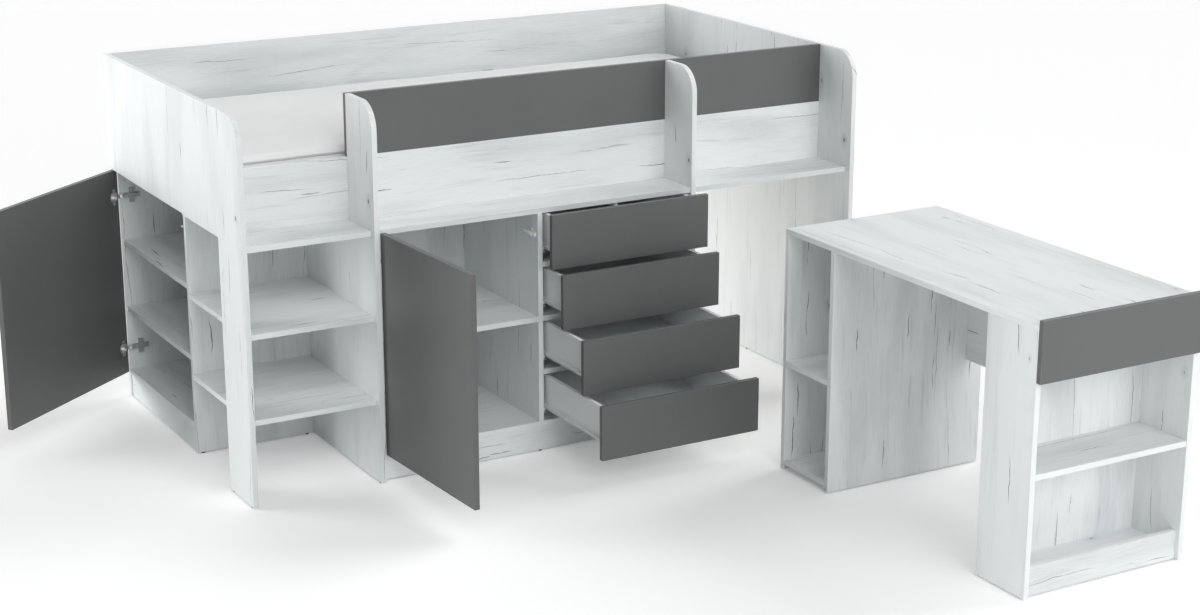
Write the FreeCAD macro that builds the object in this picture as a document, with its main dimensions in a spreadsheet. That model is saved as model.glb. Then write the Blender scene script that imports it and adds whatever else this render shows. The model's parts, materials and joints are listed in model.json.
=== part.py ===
import FreeCAD, Part
import os
import re
import Sketcher

# Loft bed with ladder bay, side cabinet, door cabinet, drawers and a pull-out desk.
# Bed frame: X runs along the bed from the left end panel's outer face, Y from the front plane to the rear,
# Z up from the floor. Every piece is then moved so that the origin is the middle of the floor area in use.
doc = FreeCAD.newDocument("loft_bed")
sheet = doc.addObject("Spreadsheet::Sheet", "sizes")

# Driving dimensions in millimetres and degrees, and below them the values worked out from them.
SIZES = {
    "board": "16",
    "bed_length": "2050",
    "bed_depth": "1143",
    "rail_height": "183.5",
    "ledge_height": "753",
    "lintel_lift": "2",
    "post_width": "183",
    "fin_radius": "80",
    "ledge_depth": "177.5",
    "ledge_setback": "22",
    "ladder_width": "379",
    "door_bay": "514",
    "drawer_bay": "515",
    "cabinet_depth": "508.5",
    "front_gap": "2",
    "reveal": "3",
    "front_bottom": "82",
    "front_top_drop": "6",
    "plinth_height": "76",
    "plinth_setback": "5",
    "cross_rail_depth": "80",
    "side_shelf_setback": "4",
    "side_shelf_low": "287",
    "side_shelf_high": "508",
    "glide_height": "4",
    "glide_diameter": "13",
    "glide_inset": "20",
    "door_overlay": "5",
    "side_door_width": "610",
    "side_door_lap": "14",
    "side_door_open": "52.5",
    "front_door_open": "87",
    "pivot_edge": "5.5",
    "pivot_depth": "2.5",
    "run_clear": "0.3",
    "hinge_inset": "85",
    "cup_diameter": "35",
    "cup_depth": "12",
    "cup_centre": "22.5",
    "cup_wall": "0.8",
    "cup_play": "0.2",
    "cup_rim": "38",
    "cup_rim_thick": "1",
    "cup_ear_height": "52",
    "cup_ear_width": "14",
    "arm_height": "12",
    "arm_length": "52",
    "arm_thick": "8",
    "nose_thick": "4.5",
    "nose_low": "2",
    "nose_side_low": "8",
    "nose_high": "8",
    "arm_neck": "7",
    "plate_thick": "4",
    "plate_height": "16",
    "plate_wing_height": "48",
    "plate_wing_depth": "18",
    "plate_start": "30",
    "drawer_length": "450",
    "drawer_side_board": "12",
    "drawer_side_height": "106",
    "drawer_back_height": "80",
    "drawer_side_lift": "44",
    "drawer_bottom_board": "3",
    "drawer_bottom_lift": "6",
    "drawer_groove": "6",
    "drawer_1_open": "56",
    "drawer_2_open": "122",
    "drawer_3_open": "242",
    "drawer_4_open": "350",
    "runner_gap": "12.5",
    "runner_setback": "2",
    "steel": "1.2",
    "channel_height": "26",
    "channel_flange": "11",
    "ride_flange_start": "3",
    "ride_drop": "12",
    "ride_leg": "10",
    "roller_diameter": "18",
    "roller_width": "7",
    "roller_inset": "12",
    "hub_diameter": "5",
    "latch_diameter": "12",
    "latch_length": "67",
    "latch_setback": "14",
    "latch_plate_thick": "3",
    "latch_plate_length": "54",
    "latch_plate_width": "30",
    "latch_plate_arm": "12",
    "latch_rise": "8",
    "latch_drop": "80",
    "side_latch_drop": "53",
    "plunger_diameter": "7",
    "plunger_inside": "30",
    "plunger_travel": "10",
    "plunger_tip_gap": "0.5",
    "ledger_width": "30",
    "ledger_height": "30",
    "ledger_lift": "7",
    "slat_width": "70",
    "slat_thick": "18",
    "slat_play": "2",
    "mattress_end_gap": "9",
    "mattress_side_gap": "16.75",
    "mattress_thick": "150",
    "mattress_corner": "60",
    "mattress_edge": "28",
    "mattress_crown": "8",
    "mattress_clear": "0.3",
    "desk_width": "544",
    "desk_length": "1101",
    "desk_top_gap": "5",
    "desk_out": "1582",
    "desk_cabinet_depth": "195",
    "desk_bookcase_depth": "239",
    "desk_shelf_height": "336",
    "desk_floor_lift": "15",
    "desk_plinth_height": "80",
    "desk_plinth_setback": "13",
    "desk_modesty_inset": "42",
    "desk_modesty_low": "326",
    "desk_glide_diameter": "30",
    "desk_glide_inset": "85",
    "cut_overrun": "1",
}
DERIVED = {
    "base": "glide_height",
    "bed_height": "ledge_height + 2 * rail_height",
    "ledge_z": "base + ledge_height",
    "lintel_height": "ledge_height + lintel_lift",
    "step_rise": "ledge_height / (step_count + 1)",
    "front_top": "ledge_height - front_top_drop",
    "desk_height": "ledge_height - board - desk_top_gap",
    "top_z": "base + bed_height",
    "ledge_under": "ledge_z - board",
    "carcass_front": "board + front_gap",
    "partition_x": "board + ladder_width",
    "door_bay_x": "partition_x + board",
    "divider_x": "door_bay_x + door_bay",
    "drawer_bay_x": "divider_x + board",
    "drawer_partition_x": "drawer_bay_x + drawer_bay",
    "desk_bay_x": "drawer_partition_x + board",
    "desk_bay": "bed_length - board - desk_bay_x",
    "rear_wall_y": "bed_depth - board",
    "wall_rear_y": "cabinet_depth + board",
    "rail_rear_y": "ledge_depth + board",
    "floor_top": "base + plinth_height + board",
    "front_low": "base + front_bottom",
    "drawer_front_height": "(front_top - front_bottom + reveal) / drawer_count - reveal",
    "drawer_pitch": "drawer_front_height + reveal",
    "drawer_front_x": "divider_x + door_overlay + reveal",
    "drawer_front_width": "desk_bay_x - reveal / 2 - drawer_front_x",
    "front_door_width": "divider_x + door_overlay - door_bay_x - reveal",
    "front_door_height": "front_top - front_bottom",
    "side_door_height": "lintel_height - reveal - front_bottom",
    "side_pivot_x": "pivot_depth",
    "side_pivot_y": "rear_wall_y + side_door_lap - pivot_edge",
    "front_pivot_x": "door_bay_x + reveal + pivot_edge",
    "front_pivot_y": "pivot_depth",
    "corner_reach": "sqrt(pivot_edge ^ 2 + (board - pivot_depth) ^ 2) + run_clear",
    "corner_angle": "90 + atan(pivot_edge / (board - pivot_depth)) / 1 deg",
    "front_contact": "corner_angle - front_door_open",
    "side_contact": "corner_angle - side_door_open",
    "front_wall": "reveal + pivot_edge",
    "side_wall": "side_door_lap - pivot_edge",
    "flange_under": "steel + 2 * run_clear + roller_diameter",
    "flange_top": "flange_under + steel",
    "leg_top": "flange_top - ride_drop",
    "channel_y": "carcass_front + runner_setback",
    "channel_lift": "drawer_side_lift - leg_top",
    "roller_z": "steel + run_clear + roller_diameter / 2",
    "slat_z": "ledge_z + ledger_lift + ledger_height",
    "mattress_z": "slat_z + slat_thick + mattress_clear",
    "mattress_length": "bed_length - 2 * board - 2 * mattress_end_gap",
    "mattress_width": "rear_wall_y - rail_rear_y - 2 * mattress_side_gap",
    "mattress_side": "mattress_thick - mattress_crown",
    "crown_radius": "(mattress_width ^ 2 / 4 + mattress_crown ^ 2) / (2 * mattress_crown)",
    "desk_x": "desk_bay_x + reveal",
    "desk_rear": "board + desk_length",
    "desk_back_y": "desk_cabinet_depth",
    "desk_inner_y": "desk_rear - desk_bookcase_depth",
    "desk_under": "base + desk_height - board",
    "desk_inside": "desk_width - 2 * board",
    "door_tip_x": "side_pivot_x - pivot_depth * cos(side_door_open)"
                  " - (side_door_width - pivot_edge) * sin(side_door_open)",
    "x_mid": "(door_tip_x + bed_length) / 2",
    "y_mid": "(bed_depth - desk_out) / 2",
}
# Closeness at which two places count as the same, and counts of what repeats.
SAME_PLACE = 1e-6
SLAT_COUNT = 14
DRAWER_COUNT = 4
STEP_COUNT = 2

SIZES["drawer_count"] = str(DRAWER_COUNT)
SIZES["step_count"] = str(STEP_COUNT)
for row, (alias, value) in enumerate(SIZES.items(), 1):
    sheet.set(f"A{row}", alias)
    sheet.set(f"B{row}", value)
    sheet.setAlias(f"B{row}", alias)
for row, (alias, formula) in enumerate(DERIVED.items(), len(SIZES) + 1):
    sheet.set(f"A{row}", alias)
    sheet.set(f"B{row}", "=" + formula)
    sheet.setAlias(f"B{row}", alias)
doc.recompute()

ALIASES = set(SIZES) | set(DERIVED)
nodes = {}


def named(text):
    """Point each alias in a formula at its cell."""
    def cell(word):
        return "sizes." + word.group() if word.group() in ALIASES else word.group()
    return re.sub(r"[A-Za-z_]\w*", cell, text)


def value_of(text):
    """The number that a formula gives."""
    return float(sheet.evalExpression(named(text)))


def bind(item, **formulas):
    """Bind an object's sizes to formulas of the sheet."""
    for prop, formula in formulas.items():
        item.setExpression(prop, named(formula))
    return item


def put(item, x="0", y="0", z="0", turn="0"):
    """Bind an object's place, and its turn about a vertical axis."""
    item.Placement = FreeCAD.Placement(FreeCAD.Vector(), FreeCAD.Rotation(FreeCAD.Vector(0, 0, 1), 0))
    for axis, formula in zip("xyz", (x, y, z)):
        item.setExpression("Placement.Base." + axis, named(formula))
    if turn != "0":
        item.setExpression("Placement.Rotation.Angle", named(turn))
    return item


def node(item, name, x="0", y="0", z="0", turn="0"):
    """Make an object a sub-part: its label, and its place about the shared origin."""
    item.Label = name
    put(item, f"{x} - x_mid", f"{y} - y_mid", z, turn)
    nodes[name] = item
    return item


def box(name, size, at):
    """A plain board: its three sizes and its lowest corner."""
    item = doc.addObject("Part::Box", name)
    bind(item, Length=size[0], Width=size[1], Height=size[2])
    return put(item, *at)


def board(name, size, at):
    """A board that is a sub-part by itself."""
    item = doc.addObject("Part::Box", name)
    bind(item, Length=size[0], Width=size[1], Height=size[2])
    return node(item, name, *at)


def rod(name, diameter, length, at, along="z"):
    """A round bar along one axis from the given point."""
    item = doc.addObject("Part::Cylinder", name)
    bind(item, Radius=f"({diameter}) / 2", Height=length)
    put(item, *at)
    turns = {"x": FreeCAD.Rotation(FreeCAD.Vector(0, 1, 0), 90),
             "y": FreeCAD.Rotation(FreeCAD.Vector(1, 0, 0), -90),
             "z": FreeCAD.Rotation()}
    item.Placement.Rotation = turns[along]
    return item


def group(name, items):
    """Separate solids held together as one object."""
    item = doc.addObject("Part::Compound", name)
    item.Links = items
    return item


def fuse(name, items):
    item = doc.addObject("Part::MultiFuse", name)
    item.Shapes = items
    return item


def cut(name, base_item, tool):
    item = doc.addObject("Part::Cut", name)
    item.Base = base_item
    item.Tool = tool
    return item


def fix_corner(sketch, edge, u, v):
    """Hold the first end of an edge at two formulas measured from the sketch's origin."""
    for kind, axis, formula in (("DistanceX", -2, u), ("DistanceY", -1, v)):
        size = value_of(formula)
        if abs(size) < SAME_PLACE:
            sketch.addConstraint(Sketcher.Constraint("PointOnObject", edge, 1, axis))
            continue
        number = sketch.addConstraint(Sketcher.Constraint(kind, -1, 1, edge, 1, size))
        sketch.setExpression(f"Constraints[{number}]", named(formula))


def profile(name, plane, corners, length, crown=None):
    """A body padded from a closed outline in the XY, XZ or YZ plane.

    The outline is straight runs between its corners. A crown is the middle point and the radius of an arc
    that takes the place of the run out of the second corner from the end.
    """
    body = doc.addObject("PartDesign::Body", name)
    sketch = body.newObject("Sketcher::SketchObject", name + "_outline")
    support = next(item for item in body.Origin.OriginFeatures if item.Role == plane + "_Plane")
    sketch.AttachmentSupport = [(support, "")]
    sketch.MapMode = "FlatFace"
    spots = [FreeCAD.Vector(value_of(u), value_of(v), 0) for u, v in corners]
    count = len(spots)
    arched = count - 2 if crown else None
    for index in range(count):
        ends = (spots[index], spots[(index + 1) % count])
        if index == arched:
            middle = FreeCAD.Vector(value_of(crown[0]), value_of(crown[1]), 0)
            sketch.addGeometry(Part.Arc(ends[0], middle, ends[1]))
        else:
            sketch.addGeometry(Part.LineSegment(*ends))
    for index in range(count):
        sketch.addConstraint(Sketcher.Constraint("Coincident", index, 2, (index + 1) % count, 1))
    for index, (u, v) in enumerate(corners):
        fix_corner(sketch, index, u, v)
    if crown:
        number = sketch.addConstraint(Sketcher.Constraint("Radius", arched, value_of(crown[2])))
        sketch.setExpression(f"Constraints[{number}]", named(crown[2]))
    pad = body.newObject("PartDesign::Pad", name + "_pad")
    pad.Profile = sketch
    pad.Reversed = plane == "XZ"
    bind(pad, Length=length)
    doc.recompute()
    return body


def round_edges(body, name, radius, chosen):
    """Fillet the edges of a body's tip that the given test picks."""
    tip = body.Tip
    picked = [f"Edge{number}" for number, edge in enumerate(tip.Shape.Edges, 1) if chosen(edge)]
    fillet = body.newObject("PartDesign::Fillet", name)
    fillet.Base = (tip, picked)
    bind(fillet, Radius=radius)
    doc.recompute()
    return body


def round_front_top(body, name, front):
    """Round the front top corner of an upright panel."""
    def chosen(edge):
        box_of = edge.BoundBox
        at_top = abs(box_of.ZMin - value_of("top_z")) < SAME_PLACE
        return at_top and abs(box_of.YMax - value_of(front)) < SAME_PLACE
    return round_edges(body, name + "_corner", "fin_radius", chosen)


# End panels and the two partitions whose fins rise beside the rails.
def upright_panels():
    left = profile("left_end_panel", "YZ", [
        ("0", "base"), ("post_width", "base"), ("post_width", "base + lintel_height"),
        ("bed_depth", "base + lintel_height"), ("bed_depth", "top_z"), ("0", "top_z")], "board")
    node(round_front_top(left, "left_end_panel", "0"), "left_end_panel")
    right = profile("right_end_panel", "YZ", [
        ("0", "base"), ("bed_depth", "base"), ("bed_depth", "top_z"), ("0", "top_z")], "board")
    node(round_front_top(right, "right_end_panel", "0"), "right_end_panel", "bed_length - board")
    ladder = profile("ladder_partition", "YZ", [
        ("0", "base"), ("bed_depth", "base"), ("bed_depth", "ledge_z"), ("ledge_depth", "ledge_z"),
        ("ledge_depth", "top_z"), ("0", "top_z")], "board")
    node(round_front_top(ladder, "ladder_partition", "0"), "ladder_partition", "partition_x")
    drawer = profile("drawer_partition", "YZ", [
        ("carcass_front", "base"), ("wall_rear_y", "base"), ("wall_rear_y", "ledge_z"),
        ("ledge_depth", "ledge_z"), ("ledge_depth", "top_z"), ("carcass_front", "top_z")], "board")
    round_front_top(drawer, "drawer_partition", "carcass_front")
    node(drawer, "drawer_partition", "drawer_partition_x")


# Rails, rear side and the front ledge in its three lengths.
def bed_sides():
    inside = "bed_length - 2 * board"
    board("back_panel", (inside, "board", "2 * rail_height"), ("board", "rear_wall_y", "ledge_z"))
    board("front_rail", (inside, "board", "rail_height"), ("board", "ledge_depth", "ledge_z"))
    board("guard_rail", ("bed_length - board - partition_x", "board", "rail_height"),
          ("partition_x", "ledge_depth", "ledge_z + rail_height"))
    ledge = "wall_rear_y - ledge_setback"
    board("ladder_top_shelf", ("ladder_width", ledge, "board"), ("board", "ledge_setback", "ledge_under"))
    board("cabinet_top_board", ("drawer_partition_x - door_bay_x", ledge, "board"),
          ("door_bay_x", "ledge_setback", "ledge_under"))
    board("desk_bay_shelf", ("desk_bay", "rail_rear_y - ledge_setback", "board"),
          ("desk_bay_x", "ledge_setback", "ledge_under"))


# Two steps and the wall behind them.
def ladder_bay():
    steps = [box(f"ladder_step_{k}", ("ladder_width", "cabinet_depth - ledge_setback", "board"),
                 ("board", "ledge_setback", f"base + {k} * step_rise - board"))
             for k in range(1, STEP_COUNT + 1)]
    node(group("ladder_steps", steps), "ladder_steps")
    board("ladder_back_wall", ("partition_x - carcass_front", "board", "ledge_under - base"),
          ("carcass_front", "cabinet_depth", "base"))


def cross_rail_low(k):
    """Underside of the rail behind the gap above the k-th drawer front from the bottom."""
    return f"front_low + {k} * drawer_pitch - reveal / 2 - board / 2"


# Door cabinet and drawer cabinet share a floor, a back and a top.
def middle_cabinet():
    width = "drawer_partition_x - door_bay_x"
    depth = "cabinet_depth - carcass_front"
    board("cabinet_back_panel", (width, "board", "ledge_under - base"),
          ("door_bay_x", "cabinet_depth", "base"))
    board("cabinet_floor", (width, depth, "board"), ("door_bay_x", "carcass_front", "floor_top - board"))
    board("cabinet_plinth", (width, "board", "plinth_height"),
          ("door_bay_x", "carcass_front + plinth_setback", "base"))
    board("cabinet_divider", ("board", depth, "ledge_under - floor_top"),
          ("divider_x", "carcass_front", "floor_top"))
    board("cabinet_shelf", ("door_bay", depth, "board"), ("door_bay_x", "carcass_front", cross_rail_low(2)))
    rails = [box(f"cross_rail_{k}", ("drawer_bay", "cross_rail_depth", "board"),
                 ("drawer_bay_x", "carcass_front", cross_rail_low(k))) for k in range(1, DRAWER_COUNT)]
    node(group("drawer_cross_rails", rails), "drawer_cross_rails")


# Cabinet that opens at the left end, behind the ladder.
def side_cabinet():
    depth = "rear_wall_y - wall_rear_y"
    shelf_x = "(carcass_front + side_shelf_setback)"
    board("side_cabinet_rear_wall", ("partition_x - carcass_front", "board", "ledge_height"),
          ("carcass_front", "rear_wall_y", "base"))
    ends = [box("side_cabinet_floor", ("partition_x - carcass_front", depth, "board"),
                ("carcass_front", "wall_rear_y", "floor_top - board")),
            box("side_cabinet_top", (f"partition_x - {shelf_x}", depth, "board"),
                (shelf_x, "wall_rear_y", "ledge_under"))]
    node(group("side_cabinet_ends", ends), "side_cabinet_ends")
    shelves = [box(f"side_shelf_{k}", (f"partition_x - {shelf_x}", depth, "board"),
                   (shelf_x, "wall_rear_y", f"base + {low}"))
               for k, low in enumerate(("side_shelf_low", "side_shelf_high"), 1)]
    node(group("side_cabinet_shelves", shelves), "side_cabinet_shelves")
    board("side_cabinet_plinth", ("board", depth, "plinth_height"),
          ("carcass_front + plinth_setback", "wall_rear_y", "base"))


# Ledgers along both rails, slats across them and the mattress on top.
def bed_base():
    inside = "bed_length - 2 * board"
    ledgers = [box(f"ledger_{k}", (inside, "ledger_width", "ledger_height"),
                   ("board", y, "ledge_z + ledger_lift"))
               for k, y in enumerate(("rail_rear_y", "rear_wall_y - ledger_width"), 1)]
    node(group("bed_ledgers", ledgers), "bed_ledgers")
    slats = []
    for k in range(SLAT_COUNT):
        middle = f"board + ({inside}) * {2 * k + 1} / {2 * SLAT_COUNT}"
        slats.append(box(f"slat_{k + 1}",
                         ("slat_width", "rear_wall_y - rail_rear_y - 2 * slat_play", "slat_thick"),
                         (f"{middle} - slat_width / 2", "rail_rear_y + slat_play", "slat_z")))
    node(group("bed_slats", slats), "bed_slats")
    slab = profile("mattress", "YZ", [
        ("0", "0"), ("mattress_width", "0"), ("mattress_width", "mattress_side"), ("0", "mattress_side")],
        "mattress_length", ("mattress_width / 2", "mattress_thick", "crown_radius"))
    side = value_of("mattress_side")
    round_edges(slab, "mattress_corners", "mattress_corner",
                lambda edge: abs(edge.BoundBox.ZLength - side) < SAME_PLACE)
    round_edges(slab, "mattress_border", "mattress_edge",
                lambda edge: edge.BoundBox.ZLength < side / 2)
    node(slab, "mattress", "board + mattress_end_gap", "rail_rear_y + mattress_side_gap", "mattress_z")


# Small round glides under every board that meets the floor.
def glides():
    middle = "board / 2"
    spots = [(middle, "glide_inset"), (middle, "post_width - glide_inset"),
             ("carcass_front + glide_inset", f"cabinet_depth + {middle}"),
             ("partition_x - glide_inset", f"cabinet_depth + {middle}"),
             ("carcass_front + glide_inset", f"rear_wall_y + {middle}"),
             (f"partition_x + {middle}", "glide_inset"), (f"partition_x + {middle}", "bed_depth / 2"),
             (f"partition_x + {middle}", "bed_depth - glide_inset"),
             (f"divider_x + {middle}", f"carcass_front + plinth_setback + {middle}"),
             (f"divider_x + {middle}", f"cabinet_depth + {middle}"),
             (f"drawer_partition_x + {middle}", "carcass_front + glide_inset"),
             (f"drawer_partition_x + {middle}", "wall_rear_y - glide_inset"),
             (f"bed_length - {middle}", "glide_inset"), (f"bed_length - {middle}", "bed_depth / 2"),
             (f"bed_length - {middle}", "bed_depth - glide_inset")]
    discs = [rod(f"glide_{k}", "glide_diameter", "glide_height", (x, y, "0"))
             for k, (x, y) in enumerate(spots, 1)]
    node(group("floor_glides", discs), "floor_glides")


# Doors are drawn closed about their pivot: X along the door from the hinge edge, Y through its thickness.
def door(name, width, height, cups_name, place, turn):
    levels = ("hinge_inset", f"{height} - hinge_inset")
    panel = box(name + "_board", (width, "board", height), ("-pivot_edge", "-pivot_depth", "0"))
    centre = "cup_centre - pivot_edge"
    face = "board - pivot_depth"
    bores = [rod(f"{name}_bore_{k}", "cup_diameter", "cup_depth + cut_overrun",
                 (centre, f"{face} - cup_depth", level), "y") for k, level in enumerate(levels, 1)]
    drilled = cut(name, panel, group(name + "_bores", bores))
    node(drilled, name, *place, turn)
    cups = [hinge_cup(f"{cups_name}_{k}", centre, face, level) for k, level in enumerate(levels, 1)]
    node(group(cups_name, cups), cups_name, *place, turn)


def hinge_cup(name, centre, face, level):
    """A pressed steel cup with a rim and two screw ears on the door's inner face."""
    outer = rod(name + "_shell", "cup_diameter - 2 * cup_play", "cup_depth - cup_play",
                (centre, f"{face} - cup_depth + cup_play", level), "y")
    rim = rod(name + "_rim", "cup_rim", "cup_rim_thick", (centre, face, level), "y")
    ears = box(name + "_ears", ("cup_ear_width", "cup_rim_thick", "cup_ear_height"),
               (f"{centre} - cup_ear_width / 2", face, f"{level} - cup_ear_height / 2"))
    hollow = rod(name + "_hollow", "cup_diameter - 2 * cup_play - 2 * cup_wall",
                 "cup_depth + cup_rim_thick + cut_overrun",
                 (centre, f"{face} - cup_depth + cup_play + cup_wall", level), "y")
    return cut(name, fuse(name + "_body", [outer, rim, ears]), hollow)


# Fixed half of a hinge: a cranked arm whose nose stands in the cup and clears the door's corner all the way.
def hinge_arm(name, contact, shift, wall, low, high, level):
    def on_tangent(t):
        return (f"{shift} + corner_reach * cos({contact}) + ({t}) * sin({contact})",
                f"corner_reach * sin({contact}) - ({t}) * cos({contact})")
    tip = on_tangent(low)
    heel = on_tangent(f"-{high}")
    seat = f"{shift} + {wall} + plate_thick"
    back = f"{seat} + arm_thick"
    nose_side = f"{tip[0]} + nose_thick"
    inner = "carcass_front - pivot_depth"
    body = profile(name, "XY", [
        tip, (nose_side, tip[1]), (nose_side, inner), (back, f"{inner} + arm_neck"),
        (back, f"{inner} + arm_neck + arm_length"), (seat, f"{inner} + arm_neck + arm_length"),
        (seat, f"{inner} + arm_neck"), heel], "arm_height")
    return put(body, f"-({shift})", "0", f"{level} - arm_height / 2")


def hinge_plate(name, wall, level):
    """A cross-shaped mounting plate on the cabinet wall under the arm."""
    stem = box(name + "_stem", ("plate_thick", "arm_length", "plate_height"),
               (wall, "plate_start", f"{level} - plate_height / 2"))
    wings_y = "plate_start + arm_length / 2 - plate_wing_depth / 2"
    wings = box(name + "_wings", ("plate_thick", "plate_wing_depth", "plate_wing_height"),
                (wall, wings_y, f"{level} - plate_wing_height / 2"))
    return fuse(name, [stem, wings])


def arm_set(name, form, height, place, turn):
    """The fixed halves of one door's two hinges, in the closed door's frame."""
    pieces = []
    for k, level in enumerate(("hinge_inset", f"{height} - hinge_inset"), 1):
        pieces.append(hinge_arm(f"{name}_arm_{k}", *form, level))
        pieces.append(hinge_plate(f"{name}_plate_{k}", form[2], level))
    return put(group(name + "_arms", pieces), *place, turn)


def doors():
    front_place = ("front_pivot_x", "front_pivot_y", "front_low")
    side_place = ("side_pivot_x", "side_pivot_y", "front_low")
    door("front_door", "front_door_width", "front_door_height", "front_hinge_cups",
         front_place, "-front_door_open")
    door("side_door", "side_door_width", "side_door_height", "side_hinge_cups",
         side_place, "-90 - side_door_open")
    front = ("front_contact", "front_wall", "-front_wall", "nose_low", "nose_high")
    side = ("side_contact", "0", "side_wall", "nose_side_low", "0")
    sets = [arm_set("front", front, "front_door_height", front_place, "0"),
            arm_set("side", side, "side_door_height", side_place, "-90")]
    node(group("hinge_arms", sets), "hinge_arms")


# Roller runners: a channel on the cabinet side with a roller at its front, and a profile under the drawer
# side with a roller at its rear. Both sections are drawn from the cabinet side towards the drawer.
CHANNEL = [("0", "0"), ("channel_flange", "0"), ("channel_flange", "steel"), ("steel", "steel"),
           ("steel", "channel_height - steel"), ("channel_flange", "channel_height - steel"),
           ("channel_flange", "channel_height"), ("0", "channel_height")]
RIDER = [("ride_flange_start", "flange_under"), ("runner_gap - steel", "flange_under"),
         ("runner_gap - steel", "leg_top - steel"), ("runner_gap + ride_leg", "leg_top - steel"),
         ("runner_gap + ride_leg", "leg_top"), ("runner_gap", "leg_top"), ("runner_gap", "flange_top"),
         ("ride_flange_start", "flange_top")]
REACH = "runner_gap + ride_leg"


def handed(x, width, right):
    return f"{REACH} - ({x}) - ({width})" if right else x


def runner(name, section, hand, roller_at, hub_at, roller_y):
    """One profile with its roller on a hub."""
    right = hand == "right"
    corners = [(handed(x, "0", right), z) for x, z in section]
    rail = profile(name + "_profile", "XZ", corners, "drawer_length - runner_setback")
    wheel = rod(name + "_wheel", "roller_diameter", "roller_width",
                (handed(roller_at, "roller_width", right), roller_y, "roller_z"), "x")
    hub = rod(name + "_hub", "hub_diameter", "run_clear",
              (handed(hub_at, "run_clear", right), roller_y, "roller_z"), "x")
    return [rail, fuse(name + "_roller", [wheel, hub])]


def runners_pair(name, section, roller_at, hub_at, roller_y, y, z):
    """A left and a right profile at their places in the drawer bay."""
    pair = []
    for hand, x in (("left", "drawer_bay_x"), ("right", f"drawer_partition_x - ({REACH})")):
        pieces = runner(f"{name}_{hand}", section, hand, roller_at, hub_at, roller_y)
        pair.append(put(group(f"{name}_{hand}", pieces), x, y, z))
    return pair


def drawer_side(name, right):
    """A drawer side with the groove that takes the bottom."""
    floor = "drawer_bottom_lift"
    ceiling = "drawer_bottom_lift + drawer_bottom_board"
    depth = "drawer_side_board - drawer_groove"
    corners = [("0", "0"), ("drawer_side_board", "0"), ("drawer_side_board", floor), (depth, floor),
               (depth, ceiling), ("drawer_side_board", ceiling), ("drawer_side_board", "drawer_side_height"),
               ("0", "drawer_side_height")]
    if right:
        corners = [(f"drawer_side_board - ({x})", z) for x, z in corners]
    return profile(name, "XZ", corners, "drawer_length")


def drawer_low(k):
    return f"front_low + {DRAWER_COUNT - k} * drawer_pitch"


def drawers():
    channels = []
    for k in range(1, DRAWER_COUNT + 1):
        name = f"drawer_{k}"
        out = f"drawer_{k}_open"
        low = drawer_low(k)
        side_low = f"{low} + drawer_side_lift"
        board(name + "_front", ("drawer_front_width", "board", "drawer_front_height"),
              ("drawer_front_x", f"-{out}", low))
        box_x = "drawer_bay_x + runner_gap"
        box_width = "drawer_bay - 2 * runner_gap"
        inner = f"{box_width} - 2 * drawer_side_board"
        left = put(drawer_side(name + "_left", False), box_x, "board", side_low)
        right = put(drawer_side(name + "_right", True), f"{box_x} + {box_width} - drawer_side_board",
                    "board", side_low)
        back = box(name + "_back", (inner, "drawer_side_board", "drawer_back_height"),
                   (f"{box_x} + drawer_side_board", "board + drawer_length - drawer_side_board", side_low))
        bottom = box(name + "_bottom", (f"{inner} + 2 * drawer_groove", "drawer_length - drawer_side_board",
                                        "drawer_bottom_board"),
                     (f"{box_x} + drawer_side_board - drawer_groove", "board",
                      f"{side_low} + drawer_bottom_lift"))
        node(group(name + "_box", [left, right, back, bottom]), name + "_box", "0", f"-{out}")
        lift = f"{low} + channel_lift"
        riders = runners_pair(name + "_rider", RIDER, "runner_gap - steel - run_clear - roller_width",
                              "runner_gap - steel - run_clear",
                              "drawer_length - runner_setback - roller_inset", "board + runner_setback", lift)
        node(group(name + "_runners", riders), name + "_runners", "0", f"-{out}")
        channels += runners_pair(name + "_channel", CHANNEL, "steel + run_clear", "steel", "roller_inset",
                                 "channel_y", lift)
    node(group("cabinet_runners", channels), "cabinet_runners")


# Push-to-open latches: drawn with the plunger along -Y and the plate above, then turned to their place.
def latch(name):
    """A tube in a cradle on a cross-shaped plate; the plunger's bore is open at the front."""
    long_arm = box(name + "_long", ("latch_plate_arm", "latch_plate_length", "latch_plate_thick"),
                   ("-latch_plate_arm / 2", "latch_setback", "latch_rise"))
    cross_arm = box(name + "_cross", ("latch_plate_width", "latch_plate_arm", "latch_plate_thick"),
                    ("-latch_plate_width / 2", "latch_setback + latch_plate_length / 2 - latch_plate_arm / 2",
                     "latch_rise"))
    cradle = box(name + "_cradle", ("latch_plate_arm / 2", "latch_plate_length", "latch_rise"),
                 ("-latch_plate_arm / 4", "latch_setback", "0"))
    tube = rod(name + "_tube", "latch_diameter", "latch_length", ("0", "latch_setback", "0"), "y")
    bore = rod(name + "_bore", "plunger_diameter + 2 * run_clear",
               "plunger_inside + plunger_travel + run_clear + cut_overrun",
               ("0", "latch_setback - cut_overrun", "0"), "y")
    return cut(name, fuse(name + "_body", [long_arm, cross_arm, cradle, tube]), bore)


def plunger(name):
    return rod(name + "_pin", "plunger_diameter", "latch_setback - plunger_tip_gap + plunger_inside",
               ("0", "plunger_tip_gap", "0"), "y")


def rolled(item, roll):
    """A latch rolled about its own axis, so that its plate faces the wall it is screwed to."""
    item.Placement = FreeCAD.Placement(FreeCAD.Vector(), FreeCAD.Rotation(FreeCAD.Vector(0, 1, 0), roll))
    return group(item.Label + "_set", [item])


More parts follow.
